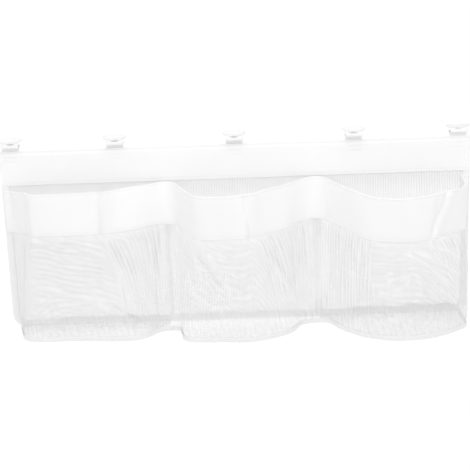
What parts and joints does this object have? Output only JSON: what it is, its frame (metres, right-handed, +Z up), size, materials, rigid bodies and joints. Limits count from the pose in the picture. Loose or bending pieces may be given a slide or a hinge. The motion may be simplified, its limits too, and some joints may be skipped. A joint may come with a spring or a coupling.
{
  "type": "bath toy organizer",
  "caption": "White cloth and mesh organizer with a solid header, gathered mesh pockets and clear suction cups on webbing loops, for hanging bath toys on a tub wall.",
  "frame": {"origin": "centre of the header's back face, which lies against the wall side", "axes": "+X along the width to the viewer's right, +Y to the wall, +Z up"},
  "size_m": [0.711, 0.1418, 0.3044],
  "materials": {
    "header_cloth": "plain woven polyester, matt white",
    "mesh": "knitted polyester net, white, see-through",
    "binding_tape": "woven binding tape, matt white",
    "webbing": "woven webbing, white",
    "eyelet_metal": "pressed, nickel plated",
    "cup_vinyl": "clear soft vinyl, moulded, glossy"
  },
  "bodies": {
    "bag": {"header_band": "header_cloth", "header_backing": "header_cloth", "back_panel": "mesh", "back_binding_left": "binding_tape", "back_binding_right": "binding_tape", "back_binding_bottom": "binding_tape", "divider_tape_left": "binding_tape", "divider_tape_right": "binding_tape", "pocket_front_left": "mesh", "pocket_band_left": "header_cloth", "pocket_floor_left": "mesh", "floor_binding_left": "binding_tape", "pocket_front_middle": "mesh", "pocket_band_middle": "header_cloth", "pocket_floor_middle": "mesh", "floor_binding_middle": "binding_tape", "pocket_front_right": "mesh", "pocket_band_right": "header_cloth", "pocket_floor_right": "mesh", "floor_binding_right": "binding_tape"},
    "loop_far_left": {"webbing_loop_far_left": "webbing", "eyelet_far_left": "eyelet_metal"},
    "cup_far_left": {"suction_cup_far_left": "cup_vinyl"},
    "loop_left": {"webbing_loop_left": "webbing", "eyelet_left": "eyelet_metal"},
    "cup_left": {"suction_cup_left": "cup_vinyl"},
    "loop_centre": {"webbing_loop_centre": "webbing", "eyelet_centre": "eyelet_metal"},
    "cup_centre": {"suction_cup_centre": "cup_vinyl"},
    "loop_right": {"webbing_loop_right": "webbing", "eyelet_right": "eyelet_metal"},
    "cup_right": {"suction_cup_right": "cup_vinyl"},
    "loop_far_right": {"webbing_loop_far_right": "webbing", "eyelet_far_right": "eyelet_metal"},
    "cup_far_right": {"suction_cup_far_right": "cup_vinyl"}
  },
  "joints": [
    {"name": "bend_far_left", "type": "hinge", "parent": "bag", "child": "loop_far_left", "pos_m": [-0.3375, -0.0019, 0.0283], "axis": [-1, 0, 0], "range_deg": [-90, 90]},
    {"name": "spin_far_left", "type": "hinge", "parent": "loop_far_left", "child": "cup_far_left", "pos_m": [-0.3375, -0.0019, 0.0283], "axis": [0, 0, 1], "continuous": true},
    {"name": "bend_left", "type": "hinge", "parent": "bag", "child": "loop_left", "pos_m": [-0.18, -0.0019, 0.0283], "axis": [-1, 0, 0], "range_deg": [-90, 90]},
    {"name": "spin_left", "type": "hinge", "parent": "loop_left", "child": "cup_left", "pos_m": [-0.18, -0.0019, 0.0283], "axis": [0, 0, 1], "continuous": true},
    {"name": "bend_centre", "type": "hinge", "parent": "bag", "child": "loop_centre", "pos_m": [0, -0.0019, 0.0283], "axis": [-1, 0, 0], "range_deg": [-90, 90]},
    {"name": "spin_centre", "type": "hinge", "parent": "loop_centre", "child": "cup_centre", "pos_m": [0, -0.0019, 0.0283], "axis": [0, 0, 1], "continuous": true},
    {"name": "bend_right", "type": "hinge", "parent": "bag", "child": "loop_right", "pos_m": [0.18, -0.0019, 0.0283], "axis": [-1, 0, 0], "range_deg": [-90, 90]},
    {"name": "spin_right", "type": "hinge", "parent": "loop_right", "child": "cup_right", "pos_m": [0.18, -0.0019, 0.0283], "axis": [0, 0, 1], "continuous": true},
    {"name": "bend_far_right", "type": "hinge", "parent": "bag", "child": "loop_far_right", "pos_m": [0.3375, -0.0019, 0.0283], "axis": [-1, 0, 0], "range_deg": [-103, 77]},
    {"name": "spin_far_right", "type": "hinge", "parent": "loop_far_right", "child": "cup_far_right", "pos_m": [0.3375, -0.0019, 0.0283], "axis": [0, 0.225, 0.9744], "continuous": true}
  ]
}
